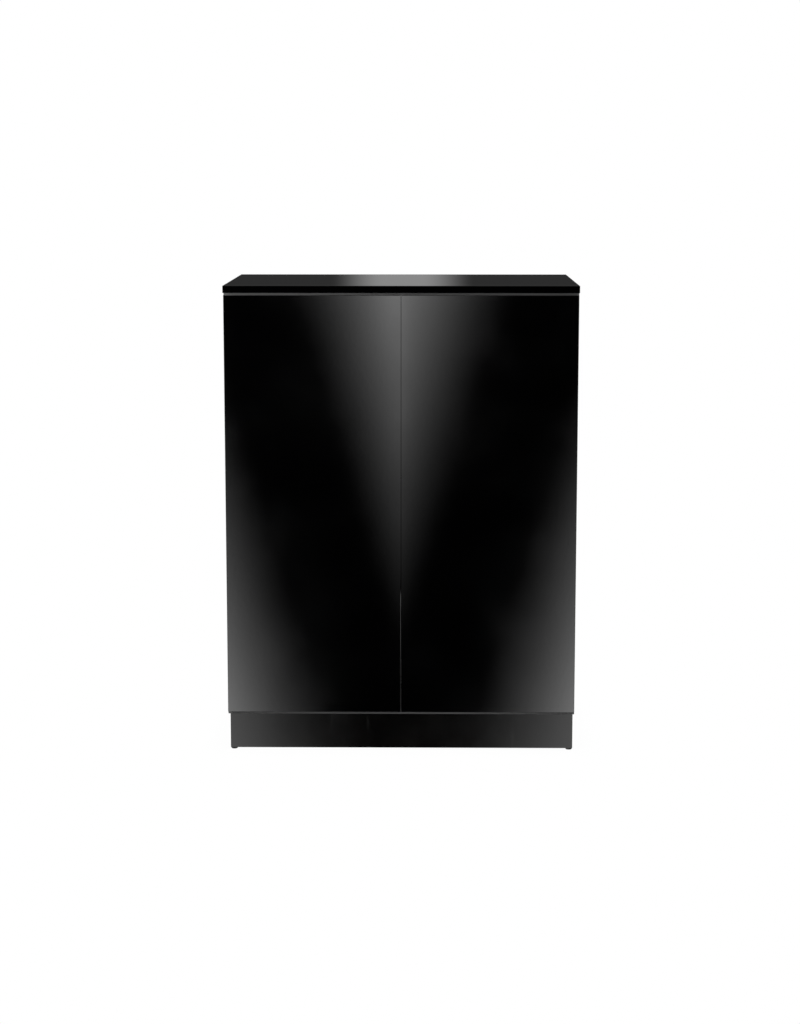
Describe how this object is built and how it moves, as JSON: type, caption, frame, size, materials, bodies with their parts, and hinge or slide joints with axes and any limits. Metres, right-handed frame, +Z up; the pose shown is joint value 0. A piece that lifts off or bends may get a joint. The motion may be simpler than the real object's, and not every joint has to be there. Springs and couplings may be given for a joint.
{
  "type": "aquarium stand cabinet",
  "caption": "Free-standing base cabinet for an aquarium: flat top, handle-less push-to-open doors on concealed hinges, recessed plinth, shelf and rear hose outlets.",
  "frame": {"origin": "centre of the footprint on the floor", "axes": "+Z up, -Y is the side the doors face, +X to the right of a person looking at the doors"},
  "size_m": [0.6, 0.385, 0.815],
  "materials": {
    "gloss_black_lacquer": "high-gloss black lacquer on MDF",
    "edge_band": "satin anthracite ABS edge banding",
    "black_melamine": "satin black melamine-faced board",
    "fibreboard": "black-faced hardboard",
    "beech": "raw beech dowel",
    "zinc_alloy": "zinc-plated die casting",
    "nickel_steel": "nickel-plated steel",
    "zinc_screw": "bright zinc plating",
    "black_plastic": "moulded black plastic",
    "grey_plastic": "moulded grey nylon",
    "clear_rubber": "clear soft bumper",
    "spring_steel": "bare spring wire"
  },
  "bodies": {
    "carcass": {"back_panel": "fibreboard", "back_screws": "zinc_screw", "bottom_panel": "black_melamine", "cam_bolts": "zinc_screw", "cam_locks": "zinc_alloy", "dowels": "beech", "floor_glides": "grey_plastic", "front_kickboard": "black_melamine", "hinge_arm_screws": "zinc_screw", "hinge_arms": "nickel_steel", "hinge_plate_screws": "zinc_screw", "hinge_plates": "nickel_steel", "hose_grommets": "black_plastic", "latch_housings": "grey_plastic", "latch_screws": "zinc_screw", "latch_springs": "spring_steel", "left_side_panel": "black_melamine", "panel_edge_bands": "edge_band", "plinth_brace": "black_melamine", "rear_kickboard": "black_melamine", "right_side_panel": "black_melamine", "shelf": "black_melamine", "shelf_pins": "nickel_steel", "side_edge_bands": "edge_band", "slab_screws": "zinc_screw", "top_slab": "gloss_black_lacquer", "upper_panel": "black_melamine"},
    "left_hinge_link_pair": {"left_hinge_links": "nickel_steel"},
    "left_door_leaf": {"left_door": "gloss_black_lacquer", "left_hinge_cups": "nickel_steel", "left_cup_screws": "zinc_screw", "left_strike_plate": "zinc_screw", "left_bumpers": "clear_rubber"},
    "right_hinge_link_pair": {"right_hinge_links": "nickel_steel"},
    "right_door_leaf": {"right_door": "gloss_black_lacquer", "right_hinge_cups": "nickel_steel", "right_cup_screws": "zinc_screw", "right_strike_plate": "zinc_screw", "right_bumpers": "clear_rubber"},
    "left_latch_plunger": {"left_plunger": "black_plastic"},
    "right_latch_plunger": {"right_plunger": "black_plastic"}
  },
  "joints": [
    {"name": "left_link_turn", "type": "hinge", "parent": "carcass", "child": "left_hinge_link_pair", "pos_m": [-0.268, -0.1695, 0.44], "axis": [0, 0, 1], "range_deg": [0, 26.8]},
    {"name": "left_door_turn", "type": "hinge", "parent": "left_hinge_link_pair", "child": "left_door_leaf", "pos_m": [-0.2894, -0.1809, 0.44], "axis": [0, 0, -1], "range_deg": [0, 121.8]},
    {"name": "right_link_turn", "type": "hinge", "parent": "carcass", "child": "right_hinge_link_pair", "pos_m": [0.268, -0.1695, 0.44], "axis": [0, 0, -1], "range_deg": [0, 26.8]},
    {"name": "right_door_turn", "type": "hinge", "parent": "right_hinge_link_pair", "child": "right_door_leaf", "pos_m": [0.2894, -0.1809, 0.44], "axis": [0, 0, 1], "range_deg": [0, 121.8]},
    {"name": "left_plunger_press", "type": "slide", "parent": "carcass", "child": "left_latch_plunger", "axis": [0, 1, 0], "range_m": [0, 0.002], "stiffness_N_per_m": 300, "springref_m": -0.004},
    {"name": "right_plunger_press", "type": "slide", "parent": "carcass", "child": "right_latch_plunger", "axis": [0, 1, 0], "range_m": [0, 0.002], "stiffness_N_per_m": 300, "springref_m": -0.004}
  ],
  "couplings": [
    {"joint": "left_link_turn", "follows": "left_door_turn", "ratio": 0.22},
    {"joint": "right_link_turn", "follows": "right_door_turn", "ratio": 0.22}
  ]
}
